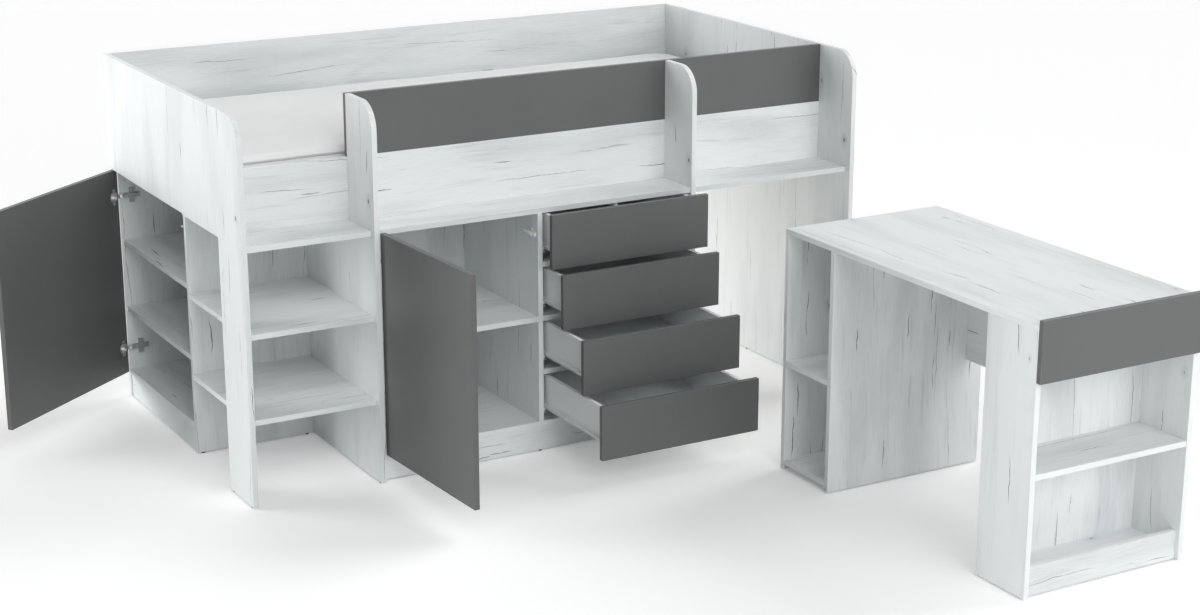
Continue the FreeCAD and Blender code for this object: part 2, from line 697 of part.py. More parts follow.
def latches():
    lift = "(latch_rise + latch_plate_thick)"
    middle = "(drawer_bay_x + drawer_bay / 2)"
    places = {"front_latch": (90, (f"divider_x - {lift}", "board", "ledge_z - latch_drop", "0")),
              "side_latch": (90, ("board", f"wall_rear_y + {lift}", "ledge_z - side_latch_drop", "-90"))}
    for k in range(1, DRAWER_COUNT + 1):
        under = cross_rail_low(DRAWER_COUNT + 1 - k) if k > 1 else "ledge_under"
        places[f"drawer_{k}"] = (0, (middle, "board", f"{under} - {lift}", "0"))
    bodies = [put(rolled(latch(name + "_catch"), roll), *place) for name, (roll, place) in places.items()]
    node(group("push_latch_bodies", bodies), "push_latch_bodies")
    for name, (roll, place) in places.items():
        node(group(name + "_plunger", [plunger(name)]), name + "_plunger", *place)


# The desk in its stowed place, moved out by desk_out.
def desk():
    out = " - desk_out"
    legs = "desk_under - base"
    board("desk_top", ("desk_width", "desk_length", "board"), ("desk_x", "board" + out, "desk_under"))
    uprights = [box(f"desk_upright_{k}", ("desk_width", "board", legs), ("desk_x", y, "base"))
                for k, y in enumerate(("desk_inner_y", "desk_rear - board"), 1)]
    node(group("desk_uprights", uprights), "desk_uprights", "0", "0" + out)
    board("desk_cabinet_back", ("desk_width", "board", legs), ("desk_x", "desk_back_y" + out, "base"))
    sides = [box(f"desk_side_{k}", ("board", "desk_back_y - board", legs), (x, "board", "base"))
             for k, x in enumerate(("desk_x", "desk_x + desk_width - board"), 1)]
    node(group("desk_cabinet_sides", sides), "desk_cabinet_sides", "0", "0" + out)
    inside_x = "desk_x + board"
    plinth_y = "board + desk_plinth_setback"
    bookcase = ("desk_width", "desk_bookcase_depth - 2 * board", "board")
    shelf_z = "base + desk_shelf_height - board"
    floor_z = "base + desk_floor_lift"
    shelves = [box("desk_cabinet_shelf", ("desk_inside", "desk_back_y - board - front_gap", "board"),
                   (inside_x, "board + front_gap", shelf_z)),
               box("desk_cabinet_floor", ("desk_inside", f"desk_back_y - ({plinth_y}) - board", "board"),
                   (inside_x, f"{plinth_y} + board", floor_z)),
               box("desk_bookcase_shelf", bookcase, ("desk_x", "desk_inner_y + board", shelf_z)),
               box("desk_bookcase_floor", bookcase, ("desk_x", "desk_inner_y + board", floor_z))]
    node(group("desk_shelves", shelves), "desk_shelves", "0", "0" + out)
    board("desk_plinth", ("desk_inside", "board", "desk_plinth_height"), (inside_x, plinth_y + out, "base"))
    board("desk_modesty_panel",
          ("board", "desk_inner_y - desk_back_y - board", "desk_under - base - desk_modesty_low"),
          ("desk_x + desk_width - desk_modesty_inset - board", "desk_back_y + board" + out,
           "base + desk_modesty_low"))
    board("desk_front", ("desk_bay - 2 * reveal", "board", "drawer_front_height"),
          ("desk_x", "0" + out, drawer_low(1)))
    spots = [(x, y) for x in ("desk_x + desk_glide_inset", "desk_x + desk_width - desk_glide_inset")
             for y in (f"({plinth_y} + board + desk_back_y) / 2", "desk_rear - desk_bookcase_depth / 2")]
    feet = [rod(f"desk_glide_{k}", "desk_glide_diameter", floor_z, (x, y, "0"))
            for k, (x, y) in enumerate(spots, 1)]
    node(group("desk_glides", feet), "desk_glides", "0", "0" + out)


def write_parts():
    """Check every object, then write each sub-part to its own file."""
    doc.recompute()
    for item in doc.Objects:
        if {"Invalid", "Error"} & set(item.State):
            raise RuntimeError(f"{item.Label} failed to compute")
    for name, item in nodes.items():
        if item.Shape.isNull() or not item.Shape.isValid() or not item.Shape.Solids:
            raise RuntimeError(f"{name} has no valid shape")
    os.makedirs("parts", exist_ok=True)
    for name, item in nodes.items():
        item.Shape.exportStep(f"parts/{name}.step")


upright_panels()
bed_sides()
ladder_bay()
middle_cabinet()
side_cabinet()
bed_base()
glides()
doors()
drawers()
latches()
desk()
write_parts()
print(len(nodes), "sub-parts written")
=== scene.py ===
import json
import math

import bmesh
import bpy
from mathutils import Matrix, Vector, noise
from mathutils.bvhtree import BVHTree

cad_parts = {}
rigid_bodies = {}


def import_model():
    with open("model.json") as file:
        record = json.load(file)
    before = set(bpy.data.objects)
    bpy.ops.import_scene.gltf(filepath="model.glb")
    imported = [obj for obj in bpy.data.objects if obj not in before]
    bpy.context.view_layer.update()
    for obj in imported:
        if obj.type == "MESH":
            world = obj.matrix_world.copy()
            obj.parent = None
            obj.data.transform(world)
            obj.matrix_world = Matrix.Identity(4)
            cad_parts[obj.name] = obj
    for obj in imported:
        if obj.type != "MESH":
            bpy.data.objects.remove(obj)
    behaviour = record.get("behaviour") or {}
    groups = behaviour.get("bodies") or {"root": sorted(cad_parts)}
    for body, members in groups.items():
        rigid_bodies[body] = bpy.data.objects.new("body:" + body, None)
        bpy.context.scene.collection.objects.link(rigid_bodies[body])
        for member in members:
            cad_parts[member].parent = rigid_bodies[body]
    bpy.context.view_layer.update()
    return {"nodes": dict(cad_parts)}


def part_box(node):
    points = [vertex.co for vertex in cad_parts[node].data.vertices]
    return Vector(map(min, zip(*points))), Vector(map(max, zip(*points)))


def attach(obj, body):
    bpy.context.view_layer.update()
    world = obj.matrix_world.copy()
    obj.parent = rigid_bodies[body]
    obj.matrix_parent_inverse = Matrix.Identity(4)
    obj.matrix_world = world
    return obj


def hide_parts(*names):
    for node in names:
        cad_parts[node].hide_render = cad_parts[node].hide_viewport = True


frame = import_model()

scene = bpy.context.scene
MM = 0.001


# ---------------------------------------------------------------- shader sums
class Value:
    """A number socket that can stand in a sum, so that a finish reads like a formula."""

    def __init__(self, nodes, socket):
        self.nodes, self.socket = nodes, socket

    def __add__(self, other):
        return self.nodes.maths("ADD", self, other)

    def __sub__(self, other):
        return self.nodes.maths("SUBTRACT", self, other)

    def __rsub__(self, other):
        return self.nodes.maths("SUBTRACT", other, self)

    def __mul__(self, other):
        return self.nodes.maths("MULTIPLY", self, other)

    def __truediv__(self, other):
        return self.nodes.maths("DIVIDE", self, other)

    def __rtruediv__(self, other):
        return self.nodes.maths("DIVIDE", other, self)

    def __pow__(self, other):
        return self.nodes.maths("POWER", self, other)

    def __gt__(self, other):
        return self.nodes.maths("GREATER_THAN", self, other)

    def __abs__(self):
        return self.nodes.maths("ABSOLUTE", self)

    __radd__ = __add__
    __rmul__ = __mul__


class Nodes:
    """A node tree with one way to add nodes."""

    def __init__(self, tree):
        self.tree = tree
        tree.nodes.clear()

    def node(self, kind, settings=None, sockets=None):
        """A new node: its settings first, then the values or links of its sockets."""
        made = self.tree.nodes.new(kind)
        for key, value in (settings or {}).items():
            setattr(made, key, value)
        for key, value in (sockets or {}).items():
            self.feed(made.inputs[key], value)
        return made

    def feed(self, socket, value):
        value = value.socket if isinstance(value, Value) else value
        if isinstance(value, bpy.types.NodeSocket):
            self.tree.links.new(value, socket)
        else:
            socket.default_value = value

    def maths(self, operation, *values):
        made = self.node("ShaderNodeMath", {"operation": operation}, dict(enumerate(values)))
        return Value(self, made.outputs[0])

    def larger(self, *values):
        most = values[0]
        for value in values[1:]:
            most = self.maths("MAXIMUM", most, value)
        return most

    def smooth(self, value, low, high):
        """0 below low, 1 above high and a soft step between; the reverse where low is higher."""
        made = self.node("ShaderNodeMapRange", {"interpolation_type": "SMOOTHSTEP"},
                         {"Value": value, "From Min": low, "From Max": high})
        return Value(self, made.outputs["Result"])

    def split(self, socket):
        made = self.node("ShaderNodeSeparateXYZ", None, {0: socket})
        return [Value(self, out) for out in made.outputs]

    def join(self, *values):
        return self.node("ShaderNodeCombineXYZ", None, dict(enumerate(values))).outputs[0]

    def noise(self, place, per_metre, detail=2.0, roughness=0.5):
        """Soft random levels over two or three distances, with so many waves to the metre."""
        counts = per_metre if isinstance(per_metre, tuple) else (per_metre,) * len(place)
        spot = self.join(*[part * count for part, count in zip(place, counts)])
        made = self.node("ShaderNodeTexNoise", {"noise_dimensions": f"{len(place)}D"},
                         {"Vector": spot, "Scale": 1.0, "Detail": detail, "Roughness": roughness})
        return Value(self, made.outputs[0])

    def cells(self, place, size):
        """Distances from the nearest scattered point, one to a cell, and its random numbers."""
        spot = self.join(*[part / pitch for part, pitch in zip(place, size)])
        made = self.node("ShaderNodeTexVoronoi", {"voronoi_dimensions": "2D"},
                         {"Vector": spot, "Scale": 1.0})
        away = self.node("ShaderNodeVectorMath", {"operation": "SUBTRACT"},
                         {0: spot, 1: made.outputs["Position"]})
        offsets = [part * pitch for part, pitch in zip(self.split(away.outputs[0]), size)]
        return offsets, self.split(made.outputs["Color"])

    def blend(self, factor, first, second):
        """A colour between two colours."""
        made = self.node("ShaderNodeMix", {"data_type": "RGBA"}, {0: factor, 6: first, 7: second})
        return made.outputs[2]


def tint(red, green, blue):
    """A colour given as it shows on a screen, 0 to 255."""
    def plain(level):
        level /= 255
        return level / 12.92 if level <= 0.04045 else ((level + 0.055) / 1.055) ** 2.4
    return (plain(red), plain(green), plain(blue), 1.0)


class Finish(Nodes):
    """One procedural finish: a material and its shader."""

    def __init__(self, name, **constants):
        self.material = bpy.data.materials.new(name)
        self.material.use_nodes = True
        super().__init__(self.material.node_tree)
        self.shader = self.node("ShaderNodeBsdfPrincipled", None,
                                {key.replace("_", " "): value for key, value in constants.items()})
        self.node("ShaderNodeOutputMaterial", None, {"Surface": self.shader.outputs[0]})
        coordinates = self.node("ShaderNodeTexCoord")
        self.place = coordinates.outputs["Object"]
        self.normal = coordinates.outputs["Normal"]

    def turned(self, angle):
        """Read places and normals in a frame turned about the vertical, as on an open door."""
        for kind in ("place", "normal"):
            made = self.node("ShaderNodeVectorRotate", {"rotation_type": "Z_AXIS"},
                             {"Vector": getattr(self, kind), "Angle": angle})
            setattr(self, kind, made.outputs[0])
        return self

    def edges(self):
        """1 on the eased edges of a board, whose surface faces none of its three directions."""
        facing = self.larger(*[abs(part) for part in self.split(self.normal)])
        return self.smooth(1 - facing, 0.02, 0.12)

    def finish(self, colour, roughness, height, depth):
        """Feed the shader, with a bump whose height counts in units of depth."""
        bump = self.node("ShaderNodeBump", None, {"Height": height, "Distance": depth})
        self.feed(self.shader.inputs["Base Color"], colour)
        self.feed(self.shader.inputs["Roughness"], roughness)
        self.feed(self.shader.inputs["Normal"], bump.outputs[0])
        return self.material


# ---------------------------------------------------------------- finishes
X, Y, Z = 0, 1, 2
MEAN = 0.5       # the middle of a noise's levels
SQUARE_ON = 0.6  # a face lies across an axis where its normal has a larger share along it

OAK_WHITE, OAK_GREY = tint(238, 241, 241), tint(176, 184, 188)
OAK_CRACK, OAK_RUBBED = tint(92, 94, 94), tint(222, 221, 216)
FACE_SHIFT = (3.1, 1.7)              # moves the print along and across between parallel faces
KNOT_CELL = (0.46, 0.21)             # along and across the grain, like the cells of the cracks
KNOT_STRETCH, MARK_STRETCH = 1.7, 1.4
LONG_CRACKS, SHORT_CRACKS = (0.52, 0.095), (0.20, 0.085)
LONG_CRACK_WIDTH, SHORT_CRACK_WIDTH = 1.6 * MM, 2.1 * MM
SHORT_CRACK_SHIFT = 5.3              # keeps the two lattices of cracks apart

GRAPHITE_DARK, GRAPHITE_PALE = tint(88, 89, 89), tint(107, 108, 108)
GRAPHITE_WORN = tint(150, 151, 150)
PINE_PALE, PINE_RING, PINE_RUBBED = tint(231, 217, 191), tint(205, 178, 138), tint(236, 224, 202)
RINGS = 95                           # growth lines to the metre across a slat
RING_WANDER = 6 / RINGS
PLATE_BRIGHT, PLATE_DULL = tint(214, 215, 216), tint(182, 184, 186)
COAT_WHITE, COAT_GREY, COAT_RUBBED = tint(232, 234, 234), tint(206, 210, 211), tint(150, 152, 152)
LATCH_TINTS = (tint(236, 236, 234), tint(214, 215, 213))
GLIDE_TINTS = (tint(30, 30, 31), tint(52, 52, 52))
COVER_TINTS = (tint(251, 251, 251), tint(234, 234, 235))
TAPE_TINTS = (tint(226, 226, 225), tint(196, 197, 198))


def board_axes(finish, grain, second):
    """Distances along and across the grain on the face seen, and one that parts parallel faces.

    On an end face, where the grain would stand on end, the edging runs along the second axis.
    """
    place, facing = finish.split(finish.place), [abs(part) for part in finish.split(finish.normal)]
    third = 3 - grain - second
    on_grain, on_second, on_third = (facing[axis] > SQUARE_ON for axis in (grain, second, third))
    along = place[grain] + on_grain * (place[second] - place[grain])
    across = place[third] + (1 - on_grain) * (1 - on_second) * (place[second] - place[third])
    through = place[grain] * on_grain + place[second] * on_second + place[third] * on_third
    return along, across, through


def crack_print(finish, along, lane, cell, width, share):
    """Thin dark cracks that follow the grain: one in some cells of a loose lattice."""
    (du, dv), (first, second, third) = finish.cells((along, lane), cell)
    half_length = (0.12 + 0.30 * first) * cell[0]
    taper = finish.larger(1 - (du / half_length) ** 2, 0.0)
    uneven = finish.noise((along, lane), (13, 16), 3.0, 0.6)
    slant, waver = (second - MEAN) * 0.12, (uneven - MEAN) * (12 * MM)
    aside = abs(dv - slant * du - waver)
    half_width = finish.larger(taper * finish.smooth(uneven, 0.22, 0.62) * width, 0.01 * MM)
    return finish.smooth(aside / half_width, 1.0, 0.4) * (third > 1 - share)


def knot_print(finish, along, across, ripple, share):
    """Dark hearts and grey halos of small knots in some cells, and the distance across from one."""
    (du, dv), (first, _, third) = finish.cells((along, across), KNOT_CELL)
    away = ((du / KNOT_STRETCH) ** 2 + dv ** 2) ** 0.5 + ripple * (4 * MM)
    size = 2 * MM + 5 * MM * first
    there = third > 1 - share
    heart = finish.smooth(away / size, 1.2, 0.3) * there * 0.75
    halo = finish.smooth(away / size, 5.0, 1.0) * there
    return heart, halo, dv


def oak(name, grain, second, mark=None, depth=1.0, cracks=1.0, knots=0.14):
    """Whitewashed oak foil: cool white with grey drifts, fine fibre, thin cracks and small knots.

    A mark is one more knot at a place along and across the grain. Depth is the print's strength,
    cracks scales the shares of places that have a crack, and knots is the share that has a knot.
    """
    finish = Finish(name, Specular_IOR_Level=0.35)
    edge_along, edge_across, through = board_axes(finish, grain, second)
    along, across = edge_along + through * FACE_SHIFT[0], edge_across + through * FACE_SHIFT[1]
    ripple = finish.noise((along, across), (60, 90)) - MEAN
    heart, halo, aside = knot_print(finish, along, across, ripple, knots)
    if mark:
        du, dv = (edge_along - mark[0]) / MARK_STRETCH, edge_across - mark[1]
        near = (du ** 2 + dv ** 2) ** 0.5 + ripple * (3 * MM)
        heart = finish.larger(heart, finish.smooth(near, 6.5 * MM, 3 * MM))
        halo = finish.larger(halo, finish.smooth(near, 24 * MM, 6 * MM))
    drift = finish.noise((along, across), (1.4, 3.2)) - MEAN
    lane = across + drift * (50 * MM) + aside * halo * 0.5
    clouds = finish.noise((along, lane), (1.2, 6.5))
    streaks = finish.noise((along, lane), (2.2, 64), 3.0, 0.6)
    patches = finish.noise((along, lane), (5, 19))
    fibre = finish.noise((along, lane), (11, 390), 2.0, 0.6)
    pores = finish.smooth(finish.noise((along, lane), (16, 520), 1.0), 0.66, 0.80)
    grey = finish.smooth(clouds, 0.42, 0.74) * 0.27
    lines = finish.smooth(streaks, 0.50, 0.78) * finish.smooth(patches, 0.38, 0.68) * 0.26
    shade = (grey + lines + (fibre - MEAN) * 0.24 + pores * 0.16 + halo * 0.30) * depth
    long_cracks = crack_print(finish, along, lane, LONG_CRACKS, LONG_CRACK_WIDTH,
                              0.50 * depth * cracks)
    short_cracks = crack_print(finish, along + SHORT_CRACK_SHIFT, lane, SHORT_CRACKS,
                               SHORT_CRACK_WIDTH, 0.24 * depth * cracks)
    crack = finish.larger(long_cracks * 0.62, short_cracks * 0.88)
    rubbed = finish.edges() * finish.smooth(patches, 0.35, 0.65)
    colour = finish.blend(shade, OAK_WHITE, OAK_GREY)
    colour = finish.blend(finish.larger(crack, heart * 0.80), colour, OAK_CRACK)
    colour = finish.blend(rubbed * 0.45, colour, OAK_RUBBED)
    roughness = 0.46 + fibre * 0.10 + crack * 0.20 - rubbed * 0.08
    return finish.finish(colour, roughness, 0.0 - crack - pores * 0.16 - fibre * 0.10, 0.35 * MM)


def graphite(name, turn=0.0):
    """Plain matt graphite coat with a fine stipple, faint hand marks and lighter rubbed edges."""
    finish = Finish(name, Specular_IOR_Level=0.5).turned(turn)
    place = finish.split(finish.place)
    stipple = finish.noise(place, 900)
    clouds = finish.noise(place, (3.1, 3.1, 2.3), 4.0, 0.6)
    marks = finish.smooth(finish.noise(place, (11, 11, 7), 5.0, 0.65), 0.50, 0.78)
    worn = finish.edges() * finish.smooth(finish.noise(place, 40, 4.0), 0.30, 0.62)
    colour = finish.blend(clouds * 0.7 + (stipple - MEAN) * 0.5, GRAPHITE_DARK, GRAPHITE_PALE)
    colour = finish.blend(worn * 0.65, colour, GRAPHITE_WORN)
    roughness = 0.40 + clouds * 0.08 + marks * 0.07 + (stipple - MEAN) * 0.10 - worn * 0.06
    return finish.finish(colour, roughness, stipple, 0.04 * MM)


def pine():
    """Planed pine slats: warm pale wood with darker growth lines across each slat."""
    finish = Finish("planed_pine", Specular_IOR_Level=0.3)
    x, y, z = finish.split(finish.place)
    drift = finish.noise((x, y, z), (9, 1.5, 9)) - MEAN
    rings = finish.noise((x + drift * RING_WANDER, y, z), (RINGS, 2.2, RINGS), 3.0)
    fibre = finish.noise((x, y, z), (480, 12, 480))
    lines = finish.smooth(rings, 0.42, 0.68)
    colour = finish.blend(lines * 0.7 + (fibre - MEAN) * 0.35, PINE_PALE, PINE_RING)
    colour = finish.blend(finish.edges() * 0.4, colour, PINE_RUBBED)
    roughness = 0.52 + fibre * 0.12 - lines * 0.06
    return finish.finish(colour, roughness, fibre * 0.5 - lines * 0.5, 0.15 * MM)


def plated(name):
    """Plated pressed steel with drawing lines and dull patches."""
    finish = Finish(name, Metallic=1.0)
    place = finish.split(finish.place)
    drawn = finish.noise(place, (260, 260, 2600))
    dull = finish.noise(place, 70, 4.0, 0.6)
    colour = finish.blend(dull, PLATE_BRIGHT, PLATE_DULL)
    return finish.finish(colour, 0.20 + dull * 0.22 + drawn * 0.08, drawn, 0.02 * MM)


def powder_coat():
    """White powder-coated steel with a fine orange-peel skin and grey rubbed edges."""
    finish = Finish("runner_powder_coat", Specular_IOR_Level=0.5)
    place = finish.split(finish.place)
    peel = finish.noise(place, 700)
    run = finish.noise(place, (160, 9, 160), 3.0)
    rubbed = finish.edges() * finish.smooth(run, 0.45, 0.7)
    colour = finish.blend(run * 0.6, COAT_WHITE, COAT_GREY)
    colour = finish.blend(rubbed * 0.5, colour, COAT_RUBBED)
    return finish.finish(colour, 0.30 + peel * 0.12 + run * 0.06, peel, 0.05 * MM)


def moulded(name, tints, roughness):
    """Moulded plastic with a spark-eroded skin, faint flow marks and scuffs."""
    finish = Finish(name, Specular_IOR_Level=0.5)
    place = finish.split(finish.place)
    skin = finish.noise(place, 1500, 1.0)
    flow = finish.noise(place, 45, 4.0, 0.6)
    scuffs = finish.smooth(finish.noise(place, (320, 320, 40), 3.0), 0.60, 0.74)
    colour = finish.blend(flow * 0.7 + scuffs * 0.3, *tints)
    return finish.finish(colour, roughness + flow * 0.12 + scuffs * 0.12, skin, 0.03 * MM)


def knit(name, tints, pitch):
    """Close knitted cover: rows of small loops at a pitch, slightly uneven, with a soft sheen and
    painted shade in the hollows between the loops.
    """
    finish = Finish(name, Sheen_Weight=0.25, Sheen_Roughness=0.5, Specular_IOR_Level=0.15)
    x, y, z = finish.split(finish.place)
    wave = 2 * math.pi / pitch
    uneven = (finish.noise((x, y, z), 14, 3.0) - MEAN) * (4 * MM)
    rows = finish.maths("SINE", (y + z + uneven) * wave)
    loops = finish.maths("SINE", (x + uneven) * wave + rows * 0.8)
    fuzz = finish.noise((x, y, z), 800)
    soft = finish.noise((x, y, z), 5, 3.0)
    loop = rows * 0.5 + loops * 0.5
    # The colour greys where the loops' bump height is low: painted shade in the hollows between the
    # loops; the fuzz and soft terms are the yarn's own uneven tone.
    colour = finish.blend(0.42 - loop * 0.22 + (soft - MEAN) * 0.5 + (fuzz - MEAN) * 0.3, *tints)
    return finish.finish(colour, 0.82 + fuzz * 0.14, loop + fuzz * 0.6, 0.25 * MM)


UPRIGHT_MARK = (0.840, 0.2545)                 # the knot that each of the four uprights shows
DOOR_TURN = {"side": 90 + 52.5, "front": 87}   # how far the doors' frames stand turned, in degrees
oaks = {
    "oak_uprights": oak("oak_uprights", Z, Y, mark=UPRIGHT_MARK, depth=0.75),
    "oak_back_walls": oak("oak_back_walls", Z, X, depth=1.25),
    "oak_shelves": oak("oak_shelves", X, Y),
    # The rails' deeper print gives more cracks and grey streaks and also greys the rails as a
    # whole: partly a stronger decor, partly painted shade on the front-facing rails.
    "oak_rails": oak("oak_rails", X, Z, depth=1.3, knots=0.05),
    "oak_desk_top": oak("oak_desk_top", Y, X),
    "oak_side_rails": oak("oak_side_rails", Y, Z),
}
coats = {
    "graphite_fronts": graphite("graphite_fronts"),
    "graphite_side_door": graphite("graphite_side_door", math.radians(DOOR_TURN["side"])),
    "graphite_front_door": graphite("graphite_front_door", math.radians(DOOR_TURN["front"])),
}
drawer_white = oak("drawer_side_foil", Y, Z, depth=0.45, cracks=0, knots=0)
slat_pine = pine()
hinge_nickel = plated("hinge_nickel_plate")
runner_white = powder_coat()
latch_white = moulded("latch_white_plastic", LATCH_TINTS, roughness=0.34)
glide_black = moulded("glide_black_plastic", GLIDE_TINTS, roughness=0.42)
cover_knit = knit("mattress_knit", COVER_TINTS, pitch=2.6 * MM)
tape_knit = knit("mattress_tape_weave", TAPE_TINTS, pitch=1.6 * MM)
screw_zinc = plated("screw_zinc_plate")

BOARDS = {
    "oak_uprights": ["left_end_panel", "right_end_panel", "ladder_partition", "drawer_partition",
                     "cabinet_divider", "desk_cabinet_sides"],
    "oak_back_walls": ["ladder_back_wall", "cabinet_back_panel", "side_cabinet_rear_wall",
                       "desk_uprights", "desk_cabinet_back"],
    "oak_shelves": ["ladder_top_shelf", "cabinet_top_board", "desk_bay_shelf", "ladder_steps",
                    "cabinet_shelf", "cabinet_floor", "drawer_cross_rails", "desk_shelves"],
    "oak_rails": ["back_panel", "front_rail", "cabinet_plinth", "desk_plinth"],
    "oak_desk_top": ["desk_top", "side_cabinet_ends", "side_cabinet_shelves"],
    "oak_side_rails": ["side_cabinet_plinth", "desk_modesty_panel"],
}
DRAWERS = range(1, 5)
FRONTS = {"graphite_fronts": ["guard_rail", "desk_front"] + [f"drawer_{k}_front" for k in DRAWERS],
          "graphite_side_door": ["side_door"], "graphite_front_door": ["front_door"]}
# How far sharp edges are eased, in millimetres; the last number of each fitting says the same.
BOARD_EASING, FRONT_EASING = 0.8, 0.9
FITTINGS = [
    (drawer_white, [f"drawer_{k}_box" for k in DRAWERS], None),
    (slat_pine, ["bed_slats", "bed_ledgers"], 1.5),
    (hinge_nickel, ["hinge_arms", "side_hinge_cups", "front_hinge_cups"], 0.25),
    (runner_white, ["cabinet_runners"] + [f"drawer_{k}_runners" for k in DRAWERS], 0.2),
    (latch_white, ["push_latch_bodies", "side_latch_plunger", "front_latch_plunger"]
     + [f"drawer_{k}_plunger" for k in DRAWERS], 0.4),
    (glide_black, ["floor_glides", "desk_glides"], 0.6),
]
# Nodes with curved faces: their normals are weighed by area, while the others' stay square.
CURVED = ("left_end_panel", "right_end_panel", "ladder_partition", "drawer_partition", "side_door",
          "front_door", "side_hinge_cups", "front_hinge_cups")
SHARP = math.radians(40)
TOUCHING = 0.01 * MM


def dress(node, material, easing):
    """Give a CAD node its finish, and ease its sharp edges by so many millimetres."""
    item = frame["nodes"][node]
    item.data.materials.clear()
    item.data.materials.append(material)
    if not easing:
        return
    weld = item.modifiers.new("merge", "WELD")
    weld.merge_threshold = TOUCHING
    ease = item.modifiers.new("ease", "BEVEL")
    ease.width = easing * MM
    ease.segments = 2
    ease.limit_method = "ANGLE"
    ease.angle_limit = SHARP
    if node in CURVED:
        item.modifiers.new("even_normals", "WEIGHTED_NORMAL")
    else:
        ease.harden_normals = True


for finishes, groups, easing in ((oaks, BOARDS, BOARD_EASING), (coats, FRONTS, FRONT_EASING)):
    for kind, nodes in groups.items():
        for node in nodes:
            dress(node, finishes[kind], easing)
for material, nodes, easing in FITTINGS:
    for node in nodes:
        dress(node, material, easing)


# ---------------------------------------------------------------- mattress
PAD_MARGIN = 4 * MM    # the pad starts so much inside its CAD box and may swell back to it
PAD_CROWN = 12 * MM    # how far its top may rise
PAD_MESH = 17 * MM
COVER_FRAMES, COVER_PRESSURE = 20, 4.0
HOLLOWS = ((4, 0, 5.0), (10, 5, 1.8))  # waves per metre, layer of the noise, depth in millimetres
PUCKERS, PUCKERS_UP, PUCKER_LAYER, PUCKER_DEPTH = 24, 6, 9, 2.6
EDGE_REACH = 60 * MM   # puckers take over from hollows within this distance of an edge
FLAT_BELOW = 50 * MM   # both fade out towards the underside from this height


def plain_copy(node, name):
    """A merged copy of a CAD node's mesh as a new object."""
    mesh = frame["nodes"][node].data.copy()
    mesh.name = name
    work = bmesh.new()
    work.from_mesh(mesh)
    bmesh.ops.remove_doubles(work, verts=work.verts, dist=2 * TOUCHING)
    work.to_mesh(mesh)
    work.free()
    item = bpy.data.objects.new(name, mesh)
    scene.collection.objects.link(item)
    return item


def apply_modifiers(item):
    """Turn an object into the plain mesh that its modifiers make."""
    view = bpy.context.evaluated_depsgraph_get()
    made = bpy.data.meshes.new_from_object(item.evaluated_get(view))
    item.modifiers.clear()
    item.data = made


def swell(item, frames, sideways, crown):
    """Blow the cover up as cloth over foam; it stays within the given ways out, sideways and up."""
    rest = [point.co.copy() for point in item.data.vertices]
    cloth = item.modifiers.new("cover", "CLOTH")
    cloth.settings.use_pressure = True
    cloth.settings.uniform_pressure_force = COVER_PRESSURE
    cloth.settings.effector_weights.gravity = 0
    cloth.point_cache.frame_end = frames
    for step in range(1, frames + 1):
        scene.frame_set(step)
    apply_modifiers(item)
    most = Vector((sideways, sideways, crown))
    least = Vector((-sideways, -sideways, -sideways))
    for point, start in zip(item.data.vertices, rest):
        moves = zip(point.co - start, least, most)
        point.co = start + Vector([min(max(way, low), high) for way, low, high in moves])
    scene.frame_set(1)


def settle(item, low, high):
    """Shallow hollows in the foam, and puckers where the cover is drawn to its tape."""
    normals = [point.normal.copy() for point in item.data.vertices]
    for point, out in zip(item.data.vertices, normals):
        x, y, z = point.co
        from_end, from_side = min(x - low.x, high.x - x), min(y - low.y, high.y - y)
        along = y if from_end < from_side else x
        edge = math.exp(-max(0.0, min(from_end, from_side)) / EDGE_REACH)
        lift = min(1.0, max(0.0, (z - low.z) / FLAT_BELOW))
        hollow = sum(noise.noise(Vector((x * waves, y * waves, layer))) * depth
                     for waves, layer, depth in HOLLOWS)
        spot = Vector((along * PUCKERS, PUCKER_LAYER, z * PUCKERS_UP))
        pucker = noise.noise(spot) * PUCKER_DEPTH * edge
        point.co += out * (hollow * (1 - edge) + pucker) * lift * MM


pad_low, pad_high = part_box("mattress")
pad = plain_copy("mattress", "mattress_pad")
middle = (pad_low + pad_high) / 2
shrink = Matrix.Diagonal([1 - 2 * PAD_MARGIN / (b - a) for a, b in zip(pad_low, pad_high)]).to_4x4()
pad.data.transform(Matrix.Translation(middle) @ shrink @ Matrix.Translation(-middle))
remesh = pad.modifiers.new("even_mesh", "REMESH")
remesh.mode = "VOXEL"
remesh.voxel_size = PAD_MESH
apply_modifiers(pad)
swell(pad, COVER_FRAMES, PAD_MARGIN, PAD_CROWN)
soften = pad.modifiers.new("soften", "SUBSURF")
soften.levels = soften.render_levels = 1
apply_modifiers(pad)
settle(pad, pad_low, pad_high)
pad.data.materials.clear()
pad.data.materials.append(cover_knit)
for face in pad.data.polygons:
    face.use_smooth = True
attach(pad, "bed")
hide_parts("mattress")


# ---------------------------------------------------------------- grown pieces
# A screw's sizes are shares of its head's radius, chosen so that no two faces lie in one plane.
HEAD_SIDES = 16
HEAD_RIM = (1.0, 0.95, -0.05, 0.25)     # low and high radius, low and high level
HEAD_CROWN = (0.93, 0.60, 0.20, 0.47)
SLOTS = ((0.86, 0.22, 0.50), (0.22, 0.86, 0.46))
SLOT_LEVEL = 0.5
TURN_SEED = 3

TAPE_SIDES = 10
TAPE_SIZES = {"Tape_Radius": 4 * MM, "Stitch_Pitch": 9 * MM, "Stitch_Radius": 0.9 * MM}
STITCH_STRETCH = (1.0, 0.7, 3.2)
TAPE_INSET = 7 * MM                     # from the mattress's top or underside to a tape's middle
TAPE_CORNER, CORNER_STEPS = 60 * MM, 8
TAPE_STEP = 25 * MM


